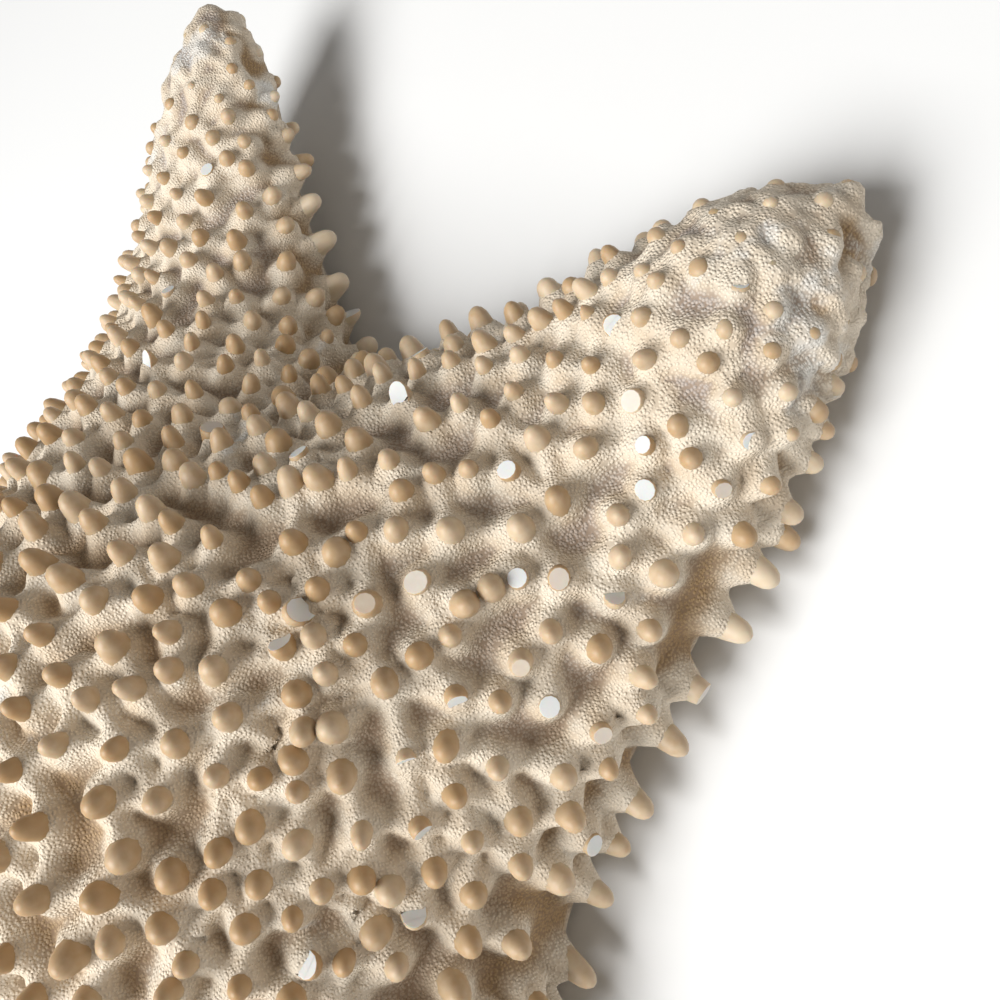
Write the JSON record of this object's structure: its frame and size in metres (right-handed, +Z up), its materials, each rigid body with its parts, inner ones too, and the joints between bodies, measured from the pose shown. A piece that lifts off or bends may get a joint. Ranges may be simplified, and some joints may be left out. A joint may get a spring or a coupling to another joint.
{
  "type": "dried starfish",
  "caption": "Dried cushion starfish with an inflated disc, stout blunt arms covered in short blunt spines, and a flat grooved mouth side it rests on.",
  "frame": {"origin": "centre of the bounding box at its base, on the surface that the mouth side rests on", "axes": "+X along the first arm, +Z up through the back, +Y to the left of the first arm"},
  "size_m": [0.1832, 0.1796, 0.0518],
  "materials": {
    "dried_skin": "matt, dry, chalky and granular, with smooth waxy spine tips"
  },
  "bodies": {
    "root": {"starfish": "dried_skin"}
  },
  "joints": []
}
